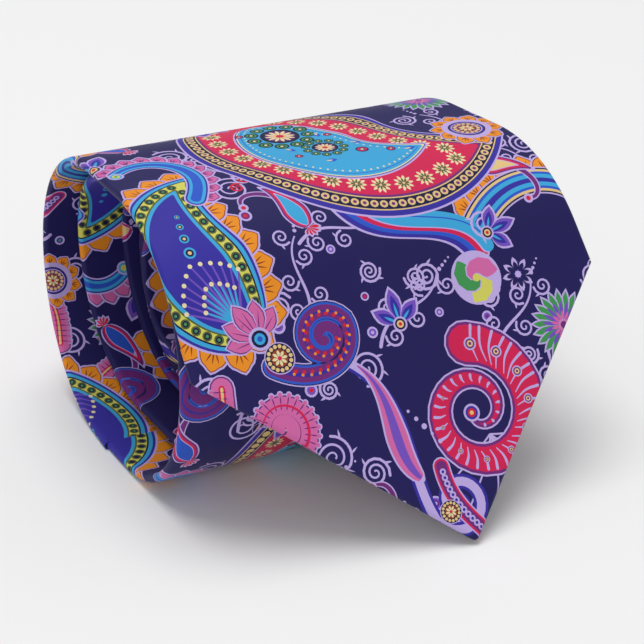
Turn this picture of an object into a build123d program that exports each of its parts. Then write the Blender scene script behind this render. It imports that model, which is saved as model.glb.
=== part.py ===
from build123d import *
import os
from math import cos, pi, radians, sin, tan

# A printed necktie, rolled up from its narrow end and set down on a table.
# X runs along the roll, +Y is the back of the roll, and +Z is up.
# The wide end comes over the top of the roll and slopes down to the table at -Y.
# The origin is the middle of the flat underside that the roll rests on.

# ---- overall sizes, mm ----
blade_width = 101.6         # widest part, at the shoulders of the point
neck_width = 38.0           # narrowest part, behind the neck
tail_width = 46.0           # narrow end, at the shoulders of its point
neck_distance = 690.0       # from the tip of the blade to the narrowest part
tie_length = 1400.0         # longest allowed length, tip to tip
wound_length = 1340.0       # length of tie that the seams below are set out on
blade_panel_end = 640.0     # seams of the three cloth panels, from the tip
neck_panel_end = 1010.0

# ---- the folded cloth ----
tie_thickness = 2.1         # cloth, interlining and cloth again
cloth_thickness = 0.4
cloth_to_interlining = 0.05
interlining_side_gap = 0.6
back_slit = 0.9             # where the two back flaps meet
stitch_width = 0.5
stitch_thickness = 0.3

# ---- the roll ----
roll_radius = 34.5          # round sides of the outer turn
roll_flat = 9.0             # half of the flat stretch at top and bottom
outer_gap = 2.4             # from the outer turn to the next one
inner_gap = 0.85            # between the inner turns
smallest_radius = 9.5       # the innermost turn is no tighter than this
ramp_angle = 55.0           # slope of the hanging blade end, degrees
wind_skew = 4.0             # the outer turn leaves the roll this much out of square

# ---- the outer turn, as short stiff pieces that hinge on its printed face ----
back_pieces = 6
front_pieces = 2
end_gap = 0.15

# ---- the back of the blade ----
hem_margin = 11.0           # turned-in cloth around the point
opening_shoulder = 38.0     # half width of the opening that shows the tipping
opening_top = 57.0          # where the flaps meet, from the tip
opening_knee = 46.8         # where the opening is widest, from the tip
opening_ramp = 64.8         # length of ramp that the opening is set out on
tail_hem = 6.0              # turned-in cloth around the narrow end's point
tail_shoulder = 0.45        # share of the last run before the point's slopes start
tipping_thickness = 0.25
lining_gap = 0.1
tack_length = 3.0
tack_width = 6.0
tack_height = 0.35
keeper_width = 46.0
keeper_length = 11.0
keeper_cloth = 0.35
keeper_clearance = 0.25
keeper_tack = 1.6
label_width = 42.0
label_length = 12.0
label_thickness = 0.25
tag_width = 20.0
tag_length = 11.0
label_stitch = 0.8
sewn_gap = 0.03

os.makedirs("parts", exist_ok=True)

half_blade = blade_width / 2
half_tail = tail_width / 2
blade_taper = (half_blade - neck_width / 2) / (neck_distance - half_blade)
outer_pitch = tie_thickness + outer_gap
inner_pitch = tie_thickness + inner_gap
edge_room = cloth_thickness + interlining_side_gap


def half_width(distance, length):
    """Half the tie's width at a distance from the blade's tip."""
    if distance < neck_distance:
        return half_blade - blade_taper * (distance - half_blade)
    share = (distance - neck_distance) / (length - half_tail - neck_distance)
    return (neck_width + (tail_width - neck_width) * min(share, 1.0)) / 2


# ---- corners of the outer turn, in the YZ plane, from its start to the ramp ----
back_step = 180.0 / back_pieces
front_step = ramp_angle / front_pieces
corners = []
for i in range(back_pieces + 1):
    a = radians(i * back_step)
    corners.append(Vector(0, roll_flat + roll_radius * sin(a), roll_radius * (1 - cos(a))))
for i in range(front_pieces + 1):
    a = radians(i * front_step)
    corners.append(Vector(0, -roll_flat - roll_radius * sin(a), roll_radius * (1 + cos(a))))
turns = [back_step / 2] + [back_step] * (back_pieces - 1) + [back_step / 2]
turns += [front_step / 2] + [front_step] * (front_pieces - 1) + [front_step / 2]
slope = radians(ramp_angle)
ramp_length = (corners[-1].Z - tie_thickness * cos(slope)) / sin(slope)
corners.append(corners[-1] + Vector(0, -cos(slope), -sin(slope)) * ramp_length)
runs = [(b - a).length for a, b in zip(corners, corners[1:])]
piece_count = len(runs) - 1
distances = [sum(runs[i:]) for i in range(len(runs) + 1)]
skew = radians(wind_skew)
tip_offset = distances[0] * sin(skew)


def outline(inset, length):
    """The flat tie's outline as far as the roll, (distance along, x), turned by the skew."""
    point_inset = inset * 2 ** 0.5
    far = distances[0] + blade_width
    side = half_blade - inset
    end = half_width(far, length) - inset
    flat = [(point_inset, 0), (half_blade, side - point_inset + inset), (far, end)]
    flat += [(far, -end), (half_blade, point_inset - inset - side)]
    turned = []
    for along, across in flat:
        turned.append((
            along * cos(skew) - across * sin(skew),
            tip_offset - along * sin(skew) - across * cos(skew),
        ))
    return turned


# ---- frames and blocks for the stiff pieces of the outer turn ----
def run_direction(i):
    return (corners[i + 1] - corners[i]).normalized()


def section_plane(i):
    """Local x runs along the piece, local y runs into the roll."""
    return Plane(origin=corners[i], x_dir=run_direction(i), z_dir=(1, 0, 0))


def face_plane(i, depth=0.0):
    """Lies in the piece at a depth below its printed face, with z into the roll."""
    inward = Vector(1, 0, 0).cross(run_direction(i))
    return Plane(origin=corners[i] + inward * depth, x_dir=run_direction(i), z_dir=inward)


def mitre(i):
    return tan(radians(turns[i] / 2)) if i < len(turns) else 0.0


def side_view(i, top, bottom, gap):
    """Section of piece i between two depths, with its ends on the mitre lines."""
    start, stop = mitre(i), mitre(i + 1)
    end = runs[i] - (gap if i < piece_count else 0.0)
    return [
        (gap + top * start, top),
        (end - top * stop, top),
        (end - bottom * stop, bottom),
        (gap + bottom * start, bottom),
    ]


def piece_block(i, top, bottom, gap, shape):
    """A layer of piece i between two depths, inside a flat shape (distance, x)."""
    local = [(distances[i] - along, -x) for along, x in shape]
    with BuildPart() as block:
        with BuildSketch(section_plane(i)):
            with BuildLine():
                Polyline(*side_view(i, top, bottom, gap), close=True)
            make_face()
        extrude(amount=2 * blade_width, both=True)
        with BuildSketch(face_plane(i)):
            with BuildLine():
                Polyline(*local, close=True)
            make_face()
        extrude(amount=tie_thickness, mode=Mode.INTERSECT)
    return block.part


def centre_x(distance):
    """Centre line of the skewed outer turn, at a distance along the winding."""
    return tip_offset - distance * tan(skew)


def strip(width, near, far):
    """A flat shape that follows the tie's centre line between two distances."""
    half = width / 2
    return [
        (near, centre_x(near) - half),
        (near, centre_x(near) + half),
        (far, centre_x(far) + half),
        (far, centre_x(far) - half),
    ]


back_layer = tie_thickness - cloth_thickness
lining_top = cloth_thickness + cloth_to_interlining
lining_bottom = back_layer - cloth_to_interlining


# ---- the wound core, as flat and half-round elements ----
def flat_length():
    return 2 * roll_flat


elements = []
low = 0.0
high = 2 * roll_radius - outer_pitch
distance = distances[0]
elements.append(("flat", "bottom", 0.0, 0.0, distance, distance + flat_length()))
distance += flat_length()
side = "front"
step = outer_pitch
turn_radius = (high - low) / 2
while turn_radius > smallest_radius:
    middle_length = pi * (turn_radius - tie_thickness / 2)
    if distance + middle_length + flat_length() > tie_length:
        break
    elements.append(("arc", side, low, high, distance, distance + middle_length))
    distance += middle_length
    place = "top" if side == "front" else "bottom"
    level = high if side == "front" else low
    elements.append(("flat", place, level, level, distance, distance + flat_length()))
    distance += flat_length()
    if side == "front":
        low += step
        step = inner_pitch
    else:
        high -= step
    side = "back" if side == "front" else "front"
    turn_radius = (high - low) / 2
elements.pop()
real_length = elements[-1][5]
seam_scale = round(real_length / wound_length, 3)


def element_block(element, top, bottom, inset, width=None, gap=0.0):
    """A layer of one element between two depths, trimmed to the tie's width less an inset."""
    kind, place, base, crown, near, far = element
    near_half = half_width(near, real_length) - inset if width is None else width / 2
    far_half = half_width(far, real_length) - inset if width is None else width / 2
    is_last = element is elements[-1] and width is None
    if is_last:
        far_half = 0.0
    is_first = element is elements[0]
    end = roll_flat - gap if is_first else roll_flat
    with BuildPart() as block:
        if kind == "flat":
            up = 1 if place == "bottom" else -1
            lean = mitre(0) if is_first else 0.0
            with BuildSketch(Plane.YZ):
                with BuildLine():
                    Polyline(
                        (-roll_flat, base + up * top),
                        (end - top * lean, base + up * top),
                        (end - bottom * lean, base + up * bottom),
                        (-roll_flat, base + up * bottom),
                        close=True,
                    )
                make_face()
            extrude(amount=blade_width, both=True)
            back_half = near_half if place == "bottom" else far_half
            front_half = far_half if place == "bottom" else near_half
            with BuildSketch(Plane.XY):
                with BuildLine():
                    Polyline(
                        (-back_half, roll_flat),
                        (back_half, roll_flat),
                        (front_half, -roll_flat),
                        (-front_half, -roll_flat),
                        close=True,
                    )
                make_face()
            extrude(amount=3 * roll_radius, mode=Mode.INTERSECT)
        else:
            facing = 1 if place == "back" else -1
            centre = (facing * roll_flat, (base + crown) / 2)
            radius = (crown - base) / 2
            start = -90 if place == "back" else 90
            with BuildSketch(Plane.YZ):
                with BuildLine():
                    outer = CenterArc(centre, radius - top, start, 180)
                    inner = CenterArc(centre, radius - bottom, start, 180)
                    Line(outer @ 0, inner @ 0)
                    Line(outer @ 1, inner @ 1)
                make_face()
            extrude(amount=blade_width, both=True)
            top_half = near_half if place == "back" else far_half
            base_half = far_half if place == "back" else near_half
            with BuildSketch(Plane.XZ):
                with BuildLine():
                    if min(top_half, base_half) > 0:
                        Polyline(
                            (-base_half, base),
                            (base_half, base),
                            (top_half, crown),
                            (-top_half, crown),
                            close=True,
                        )
                    else:
                        Polyline(*point_shape(base_half, top_half, base, crown, inset), close=True)
                make_face()
            extrude(amount=2 * blade_width, both=True, mode=Mode.INTERSECT)
    return block.part


def point_shape(base_half, top_half, base, crown, inset):
    """The tail's point, seen from the front: straight sides, then a blunt arrow."""
    tip = inset * 2 ** 0.5
    if top_half > 0:
        wide, wide_level, tip_level = top_half, crown, base + tip
    else:
        wide, wide_level, tip_level = base_half, base, crown - tip
    knee = wide_level + tail_shoulder * (tip_level - wide_level)
    return [
        (-wide, wide_level),
        (wide, wide_level),
        (wide, knee),
        (0, tip_level),
        (-wide, knee),
    ]


def join(blocks):
    with BuildPart() as whole:
        for block in blocks:
            add(block)
    return whole.part


def finish(part, name):
    part.label = name
    export_step(part, f"parts/{name}.step")


# ---- the outer turn: cloth, interlining and slip stitch of each stiff piece ----
cloth_shape = outline(0, tie_length)
hollow_shape = outline(cloth_thickness, tie_length)
lining_shape = outline(edge_room, tie_length)
reach = distances[0] + blade_width
opening_scale = round(distances[piece_count] / opening_ramp, 3)
opening_end = opening_top * opening_scale
slit_overlap = tack_length      # the slit runs on into the opening
slit_shape = strip(back_slit, opening_end - slit_overlap, reach)
thread_shape = strip(stitch_width, opening_end + tack_length, reach)

widest = opening_knee * opening_scale
opening_side = opening_shoulder * opening_scale
opening_shape = [
    (hem_margin * 2 ** 0.5, centre_x(hem_margin * 2 ** 0.5)),
    (widest, centre_x(widest) + opening_side),
    (opening_end, centre_x(opening_end)),
    (widest, centre_x(widest) - opening_side),
]
for i in range(piece_count + 1):
    number = i + 1
    is_ramp = i == piece_count
    with BuildPart() as cloth:
        add(piece_block(i, 0, tie_thickness, end_gap, cloth_shape))
        add(
            piece_block(i, cloth_thickness, back_layer, -end_gap, hollow_shape),
            mode=Mode.SUBTRACT,
        )
        add(piece_block(i, back_layer, tie_thickness, -end_gap, slit_shape), mode=Mode.SUBTRACT)
        if is_ramp:
            with BuildSketch(face_plane(i, back_layer)):
                with BuildLine():
                    Polyline(
                        *[(distances[i] - along, -x) for along, x in opening_shape],
                        close=True,
                    )
                make_face()
            extrude(amount=cloth_thickness, mode=Mode.SUBTRACT)
    finish(cloth.part, "blade_point_cloth" if is_ramp else f"blade_cloth_{number:02d}")
    lining = piece_block(i, lining_top, lining_bottom, 2 * end_gap, lining_shape)
    finish(lining, "blade_point_interlining" if is_ramp else f"interlining_{number:02d}")
    thread = piece_block(
        i,
        back_layer + lining_gap,
        back_layer + lining_gap + stitch_thickness - sewn_gap,
        2 * end_gap,
        thread_shape,
    )
    if not is_ramp:
        finish(thread, f"slip_stitch_{number:02d}")

# ---- the back of the point: lining, bar tack ----
ramp = piece_count
with BuildPart() as blade_tipping:
    with BuildSketch(face_plane(ramp, back_layer + sewn_gap)):
        with BuildLine():
            Polyline(*[(distances[ramp] - along, -x) for along, x in opening_shape], close=True)
        make_face()
        offset(amount=-lining_gap, kind=Kind.INTERSECTION, mode=Mode.REPLACE)
    extrude(amount=tipping_thickness)
finish(blade_tipping.part, "blade_tipping")


def on_back(i, along, lift):
    """A plane on the back of piece i, centred on the tie at a distance from the tip."""
    inward = Vector(1, 0, 0).cross(run_direction(i))
    spot = corners[i] + run_direction(i) * (distances[i] - along)
    spot += inward * (tie_thickness + lift)
    return Plane(
        origin=spot + Vector(centre_x(along), 0, 0), x_dir=run_direction(i), z_dir=inward
    )


def middle(i):
    return (distances[i] + distances[i + 1]) / 2


with BuildPart() as bar_tack:
    with BuildSketch(on_back(ramp, opening_end + tack_length, sewn_gap)):
        Rectangle(tack_length, tack_width)
    extrude(amount=tack_height)
finish(bar_tack.part, "blade_bar_tack")

# ---- label, care tag and keeper loop, sewn on the back of the outer turn ----
label_piece = back_pieces - 1
tag_piece = max(label_piece - 3, 1)
keeper_piece = max(label_piece - 4, 0)
with BuildPart() as label:
    with BuildSketch(on_back(label_piece, middle(label_piece), sewn_gap)):
        Rectangle(label_length, label_width)
    extrude(amount=label_thickness)
finish(label.part, "woven_label")
with BuildPart() as label_stitches:
    with BuildSketch(
        on_back(label_piece, middle(label_piece), label_thickness + 2 * sewn_gap)
    ):
        with GridLocations(0, label_width - 3 * label_stitch, 1, 2):
            Rectangle(label_length - 2 * label_stitch, label_stitch)
    extrude(amount=label_thickness / 2)
finish(label_stitches.part, "label_stitches")
with BuildPart() as care_tag:
    with BuildSketch(on_back(tag_piece, middle(tag_piece), sewn_gap)):
        Rectangle(tag_length, tag_width)
    extrude(amount=label_thickness)
finish(care_tag.part, "care_tag")

loop_height = keeper_clearance + keeper_cloth
with BuildPart() as keeper_loop:
    with BuildSketch(on_back(keeper_piece, middle(keeper_piece), sewn_gap)):
        Rectangle(keeper_length, keeper_width)
    extrude(amount=loop_height)
    with BuildSketch(on_back(keeper_piece, middle(keeper_piece), 0)):
        Rectangle(keeper_length, keeper_width - 2 * keeper_tack)
    extrude(amount=sewn_gap + keeper_clearance, mode=Mode.SUBTRACT)
finish(keeper_loop.part, "keeper_loop")
with BuildPart() as keeper_stitches:
    with BuildSketch(on_back(keeper_piece, middle(keeper_piece), loop_height + 2 * sewn_gap)):
        with GridLocations(0, keeper_width - keeper_tack, 1, 2):
            Rectangle(keeper_length - 2 * label_stitch, label_stitch)
    extrude(amount=label_thickness / 2)
finish(keeper_stitches.part, "keeper_stitches")

# ---- the wound core: three panels, one interlining, one slip stitch ----
panels = {"blade_panel": [], "neck_panel": [], "tail_panel": []}
for element in elements:
    middle_distance = (element[4] + element[5]) / 2
    if middle_distance < blade_panel_end * seam_scale:
        panels["blade_panel"].append(element)
    elif middle_distance < neck_panel_end * seam_scale:
        panels["neck_panel"].append(element)
    else:
        panels["tail_panel"].append(element)

last = elements[-1]
for name, members in panels.items():
    shells = []
    for element in members:
        with BuildPart() as shell:
            add(element_block(element, 0, tie_thickness, 0, gap=end_gap))
            add(
                element_block(element, cloth_thickness, back_layer, cloth_thickness),
                mode=Mode.SUBTRACT,
            )
            if element is not last:
                add(
                    element_block(element, back_layer, tie_thickness, 0, width=back_slit),
                    mode=Mode.SUBTRACT,
                )
            else:
                add(
                    element_block(element, back_layer, tie_thickness, tail_hem),
                    mode=Mode.SUBTRACT,
                )
        shells.append(shell.part)
    finish(join(shells), name)

linings = []
threads = []
for element in elements:
    linings.append(element_block(element, lining_top, lining_bottom, edge_room, gap=3 * end_gap))
    if element is not last:
        threads.append(
            element_block(
                element,
                back_layer + lining_gap,
                back_layer + lining_gap + stitch_thickness - sewn_gap,
                0,
                width=stitch_width,
                gap=3 * end_gap,
            )
        )
finish(join(linings), "core_interlining")
finish(join(threads), "core_slip_stitch")
tail_tipping = element_block(
    last, back_layer + sewn_gap, back_layer + sewn_gap + tipping_thickness, tail_hem + lining_gap
)
finish(tail_tipping, "tail_tipping")

print(f"taper {blade_taper:.4f}, ramp {ramp_length:.2f}, outer turn {distances[0]:.1f}")
print(f"tip at x {tip_offset:.2f}, whole length {real_length:.0f}, elements {len(elements)}")
for i, corner in enumerate(corners):
    print(f"corner {i}: y {corner.Y:.3f} z {corner.Z:.3f}, left to the tip {distances[i]:.2f}")
print("turns", [round(turn, 3) for turn in turns])
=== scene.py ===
import math

import bmesh
import bpy
import numpy as np
from mathutils import Matrix, Vector
from mathutils.geometry import delaunay_2d_cdt


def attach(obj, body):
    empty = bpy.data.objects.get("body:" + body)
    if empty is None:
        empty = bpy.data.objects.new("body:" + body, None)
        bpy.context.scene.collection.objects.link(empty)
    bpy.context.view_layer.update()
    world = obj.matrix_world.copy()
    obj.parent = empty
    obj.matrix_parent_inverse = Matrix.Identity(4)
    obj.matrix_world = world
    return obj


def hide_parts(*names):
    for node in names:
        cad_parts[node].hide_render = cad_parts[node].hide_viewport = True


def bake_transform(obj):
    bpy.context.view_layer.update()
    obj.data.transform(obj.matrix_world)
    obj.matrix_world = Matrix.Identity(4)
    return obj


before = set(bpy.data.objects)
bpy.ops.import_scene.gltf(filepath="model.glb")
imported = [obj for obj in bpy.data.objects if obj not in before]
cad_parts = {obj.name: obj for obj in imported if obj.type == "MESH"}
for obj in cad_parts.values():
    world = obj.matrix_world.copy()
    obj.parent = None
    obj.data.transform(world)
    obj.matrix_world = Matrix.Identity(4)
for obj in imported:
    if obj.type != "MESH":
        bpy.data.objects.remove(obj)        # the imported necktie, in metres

scene = bpy.context.scene
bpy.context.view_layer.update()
mm = 0.001


# the print: flat shapes in millimetres, x across the tie and y up from the tip
inkColours = {
    "ground": (0.104, 0.085, 0.330),
    "deep": (0.075, 0.058, 0.250),
    "indigo": (0.195, 0.165, 0.600),
    "blue": (0.150, 0.330, 0.760),
    "cyan": (0.220, 0.630, 0.830),
    "lavender": (0.725, 0.650, 0.870),
    "violet": (0.440, 0.300, 0.720),
    "plum": (0.430, 0.150, 0.460),
    "crimson": (0.800, 0.110, 0.310),
    "red": (0.800, 0.110, 0.190),
    "pink": (0.800, 0.390, 0.630),
    "orange": (0.900, 0.550, 0.120),
    "rust": (0.560, 0.250, 0.100),
    "gold": (0.860, 0.740, 0.500),
    "cream": (0.880, 0.830, 0.650),
    "lime": (0.800, 0.790, 0.360),
    "green": (0.240, 0.560, 0.310),
    "olive": (0.330, 0.370, 0.180),
}
tile = {"wide": 104.0, "tall": 150.0, "line": 0.42}
shapes = []  # each is (colour, points), painted in order
pen = {"x": 0.0, "y": 0.0, "turn": 0.0, "size": 1.0, "flip": 1}


def paint(colour, points):
    c, s = pen["size"] * math.cos(pen["turn"]), pen["size"] * math.sin(pen["turn"])
    flip = pen["flip"]
    x, y = pen["x"], pen["y"]
    shapes.append((colour, [(x + c * u - s * v * flip, y + s * u + c * v * flip) for u, v in points]))


def placed(motif, x, y, turn=0.0, size=1.0, flip=1):
    pen.update(x=x, y=y, turn=math.radians(turn), size=size, flip=flip)
    motif()
    pen.update(x=0.0, y=0.0, turn=0.0, size=1.0, flip=1)


def turned(x, y, angle, points):
    c, s = math.cos(angle), math.sin(angle)
    return [(x + c * u - s * v, y + s * u + c * v) for u, v in points]


def disc(colour, x, y, radius, sides=0):
    sides = sides or max(8, min(36, int(6 + 6 * radius)))
    step = 2 * math.pi / sides
    paint(colour, [(x + radius * math.cos(k * step), y + radius * math.sin(k * step)) for k in range(sides)])


def target(x, y, radius, *colours):
    for k, colour in enumerate(colours):
        disc(colour, x, y, radius * (1 - k / len(colours)))


def petal(colour, x, y, angle, length, width, blunt=1.0):
    steps = 6
    side = []
    for k in range(1, steps):
        t = k / steps
        side.append((length * t, width * math.sin(math.pi * t ** blunt)))
    points = [(0, 0)] + side + [(length, 0)] + [(u, -v) for u, v in reversed(side)]
    paint(colour, turned(x, y, angle, points))


def bend(a, b, c, d, steps=24):
    line = []
    for k in range(steps + 1):
        t = k / steps
        u = 1 - t
        w = (u * u * u, 3 * u * u * t, 3 * u * t * t, t * t * t)
        line.append(tuple(w[0] * a[i] + w[1] * b[i] + w[2] * c[i] + w[3] * d[i] for i in (0, 1)))
    return line


def coil(x, y, radius, turns, start, way=1, tight=0.12):
    steps = int((14 if radius < 4 else 26) * turns)
    line = []
    for k in range(steps + 1):
        t = k / steps
        r = radius * (1 - (1 - tight) * t)
        angle = start + way * 2 * math.pi * turns * t
        line.append((x + r * math.cos(angle), y + r * math.sin(angle)))
    return line


def heading(line, k):
    a, b = line[max(k - 1, 0)], line[min(k + 1, len(line) - 1)]
    return math.atan2(b[1] - a[1], b[0] - a[0])


def ribbon(colour, line, width, grow=0.0):
    # width is a number, or a function of the share along the line
    left, right, ends = [], [], []
    last = len(line) - 1
    for k, (x, y) in enumerate(line):
        half = (width(k / last) if callable(width) else width) + grow
        if half <= 0.02:
            if left:
                break
            continue
        angle = heading(line, k)
        left.append((x - half * math.sin(angle), y + half * math.cos(angle)))
        right.append((x + half * math.sin(angle), y - half * math.cos(angle)))
        ends.append((x, y, angle, half))
    if len(left) > 1:
        blunt = 0.3 if callable(width) and width(0) < 0.01 else 1.0
        paint(colour, left + cap(*ends[-1], 1, 1.0) + right[::-1] + cap(*ends[0], -1, blunt))


def cap(x, y, angle, half, way, blunt):
    # the round end of a ribbon
    if half < 0.25:
        return []
    count = 3 if half < 1 else 6
    turns = [math.pi / 2 - math.pi * k / (count + 1) for k in range(1, count + 1)]
    return turned(x, y, angle if way > 0 else angle + math.pi,
                  [(blunt * half * math.cos(t), half * math.sin(t)) for t in turns])


def shifted(line, reach):
    # a line beside another, to its left
    return [(x - reach * math.sin(heading(line, k)), y + reach * math.cos(heading(line, k)))
            for k, (x, y) in enumerate(line)]


def thin(most, least=0.15):
    return lambda t: least + (most - least) * (1 - t) ** 0.8


def bellied(most, peak=0.3, sharp=1.5):
    def width(t):
        if t < peak:
            return most * math.sqrt(max(0.0, 1 - ((peak - t) / peak) ** 2))
        return most * (1 - ((t - peak) / (1 - peak)) ** sharp)
    return width


def rim(line, width, inset):
    # the closed edge of a bellied ribbon, moved in by an inset
    left, right = [], []
    last = len(line) - 1
    for k, (x, y) in enumerate(line):
        half = width(k / last) - inset
        if half <= 0:
            continue
        angle = heading(line, k)
        left.append((x - half * math.sin(angle), y + half * math.cos(angle)))
        right.append((x + half * math.sin(angle), y - half * math.cos(angle)))
    return left[::-1] + right


def spaced(line, step):
    # points an even step apart along a line, with the way that the line runs there
    found = []
    room = step / 2
    for (ax, ay), (bx, by) in zip(line, line[1:]):
        length = math.hypot(bx - ax, by - ay)
        angle = math.atan2(by - ay, bx - ax)
        while room < length:
            found.append((ax + (bx - ax) * room / length, ay + (by - ay) * room / length, angle))
            room += step
        room -= length
    return found


def daisy(x, y, radius, petals, colour, eye="plum", turn=0.0):
    for k in range(petals):
        angle = turn + 2 * math.pi * k / petals
        petal(colour, x, y, angle, radius, radius * 1.5 / petals, 1.6)
    disc(eye, x, y, radius * 0.26)


def chain(line, step, radius, colour="gold", hole="plum"):
    for x, y, _ in spaced(line, step):
        disc(colour, x, y, radius, 9)
        disc(hole, x, y, radius * 0.48, 7)


def scallops(line, step, height, colour, vein, side=1):
    for x, y, angle in spaced(line, step):
        out = angle + side * math.pi / 2
        for grow, ink in ((tile["line"], "lavender"), (0.0, vein), (-0.22, colour)):
            points = []
            for k in range(13):
                a = -math.pi / 2 + math.pi * k / 12
                ripple = 1 + 0.07 * math.cos(6 * a)
                points.append((
                    (height + grow) * math.cos(a) * ripple, (step * 0.62 + grow) * math.sin(a)
                ))
            points += [(-height * 0.35, step * 0.4), (-height * 0.35, -step * 0.4)]
            paint(ink, turned(x, y, out, points))
        for lean in (-0.45, 0.0, 0.45):
            petal(vein, x, y, out + lean, height * 0.72, 0.17)


def vine(x, y, radius, start, way=1, turns=2.3, colour="lavender", thick=0.3, dot=0.0, thorns=3):
    line = coil(x, y, radius, turns, start, way)
    ribbon(colour, line, thin(thick, 0.17))
    for k in range(thorns):
        spot = 2 + k * 4
        px, py = line[spot]
        petal(colour, px, py, heading(line, spot) + way * -2.2, radius * 0.3 + 0.6, 0.24, 0.7)
    disc(colour, *line[-1], thick * 0.8 + dot)


def paisley(line, most, layers, peak=0.3, sharp=1.5):
    width = bellied(most, peak, sharp)
    for colour, inset in layers:
        ribbon(colour, line, width, -inset)
    return width


def leaf(x, y, angle, length, width, colour="green"):
    petal("lavender", x, y, angle, length + 0.9, width + 0.5, 1.15)
    petal(colour, x, y, angle, length, width, 1.15)
    petal("deep", x, y, angle, length * 0.8, 0.2)
    for k in range(4):
        t = 0.22 + 0.15 * k
        px, py = x + length * t * math.cos(angle), y + length * t * math.sin(angle)
        for lean in (0.6, -0.6):
            petal("deep", px, py, angle + lean, width * 1.1, 0.12)


def rosette(x, y, radius, petals, outer="gold", inner="plum", eye="cream"):
    disc("lavender", x, y, radius)
    disc(inner, x, y, radius * 0.93)
    for k in range(petals):
        angle = 2 * math.pi * k / petals
        disc(outer, x + radius * 0.74 * math.cos(angle), y + radius * 0.74 * math.sin(angle),
             radius * 2.0 / petals, 8)
    disc("rust", x, y, radius * 0.56)
    daisy(x, y, radius * 0.52, max(8, petals // 2), eye, "crimson")


def grandBoteh():
    # a large drop: gold chain, crimson band with daisies, and a cyan heart
    spine = bend((0, -26), (-9, 8), (6, 30), (33, 27), 52)
    for k in range(6):
        leaf(-2 + 1.5 * k, -23.5, math.radians(-168 + 26 * k), 13.0 - abs(k - 2.5), 2.7)
    width = paisley(spine, 21.5, (
        ("lavender", -0.45), ("indigo", 0), ("gold", 1.3), ("deep", 1.6), ("gold", 4.3), ("plum", 4.6),
        ("crimson", 5.2),
    ), 0.32, 1.75)
    chain(rim(spine, width, 2.95), 2.0, 0.88)
    for x, y, angle in spaced(rim(spine, width, 8.0), 5.0):
        daisy(x, y, 2.2, 10, "cream", "plum", angle)
        daisy(x, y, 1.3, 8, "olive", "gold", angle)
    core = bend((0, -14), (-7, 8), (1, 19), (16, 20), 40)
    width = paisley(core, 10.4, (
        ("lavender", -1.0), ("indigo", -0.55), ("cream", -0.3), ("cyan", 0), ("blue", 0.75), ("cyan", 0.95),
    ), 0.34, 1.7)
    for x, y, angle in spaced(rim(core, width, 1.7), 1.5):
        disc("cream", x, y, 0.26, 7)
    for x, y, radius in ((-1.2, -4.6, 6.0), (0.5, 6.8, 4.0)):
        for k in range(11):
            angle = 2 * math.pi * k / 11
            target(x + radius * math.cos(angle), y + radius * math.sin(angle), radius * 0.26,
                   "deep", "green", "deep", "cream")
        target(x, y, radius * 0.7, "deep", "plum", "crimson", "crimson")
        daisy(x, y, radius * 0.55, 12, "cream", "red")
    for x, y, angle in ((-6.0, 1.5, 1.2), (5.2, -1.0, 1.9), (6.4, 8.0, 0.9), (-4.8, 12.0, 0.4),
                        (11.5, 18.6, 0.4)):
        petal("blue", x, y, angle, 2.6, 0.7, 1.3)
        petal("cream", x, y, angle, 1.7, 0.25, 1.3)
    for x, y, radius in ((5.0, 13.0, 1.4), (9.6, 16.8, 1.0), (-6.8, 6.5, 0.9), (-7.4, -10.5, 1.0),
                         (6.4, 1.8, 0.9)):
        target(x, y, radius, "deep", "crimson", "plum", "cream")
    rosette(3.6, -27.5, 4.6, 16)


def sunBoteh():
    # a drop with a border of orange scallops and a fan of stamens over a lotus
    spine = bend((0, -17), (-7, 2), (2, 19), (19, 20), 44)
    width = bellied(12.0, 0.34, 1.6)
    scallops(rim(spine, width, 0.4), 5.0, 4.6, "orange", "rust", -1)
    for colour, inset in (("lavender", -0.9), ("indigo", -0.4), ("cyan", 0.2), ("deep", 1.1), ("lime", 1.5),
                          ("olive", 3.7), ("cyan", 4.1), ("indigo", 4.9)):
        ribbon(colour, spine, width, -inset)
    for x, y, angle in spaced(rim(spine, width, 2.6), 2.5):
        target(x, y, 1.05, "olive", "deep", "green")
    for rows, low, reach, ink in ((11, 50, 15.5, "violet"), (8, 58, 10.5, "cyan")):
        for k in range(rows):
            angle = math.radians(low + (180 - 2 * low) * k / (rows - 1))
            far = reach - 0.8 * abs(k - (rows - 1) / 2)
            x, y = -2 + far * math.cos(angle), -13 + far * math.sin(angle)
            ribbon(ink, [(-2, -13), (x, y)], thin(0.36, 0.15))
            disc("cream", x, y, 0.5, 9)
    for k in range(4):
        target(0.2 + 1.6 * k, 4.6 + 3.2 * k - 0.2 * k * k, 1.3 - 0.24 * k, "cyan", "deep", "gold")
    for angle, length in ((24, 7.2), (156, 7.2), (58, 7.8), (122, 7.8), (90, 8.4)):
        turn = math.radians(angle)
        petal("lavender", -1, -17.5, turn, length + 0.6, 2.3, 1.2)
        petal("plum", -1, -17.5, turn, length + 0.2, 2.0, 1.2)
        petal("pink", -1, -17.5, turn, length, 1.75, 1.2)
        for lean in (-0.12, 0.12):
            petal("plum", -1, -17.5, turn + lean, length * 0.8, 0.12)
    target(-1, -17.5, 2.4, "lavender", "deep", "cyan", "blue")


def hook():
    # a crescent edged with scallops, blue and cyan inside
    line = bend((-12, -12), (-16, 8), (2, 18), (13, 6), 36)
    scallops(shifted(line, 2.6), 4.6, 4.0, "orange", "rust", 1)
    for colour, grow in (("lavender", 2.6), ("deep", 2.25), ("gold", 1.9), ("blue", 1.3), ("cyan", 0.7),
                         ("indigo", -0.3)):
        ribbon(colour, line, thin(1.0, 0.5), grow)
    target(12.4, 4.6, 2.5, "lavender", "blue", "red", "plum")


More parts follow.
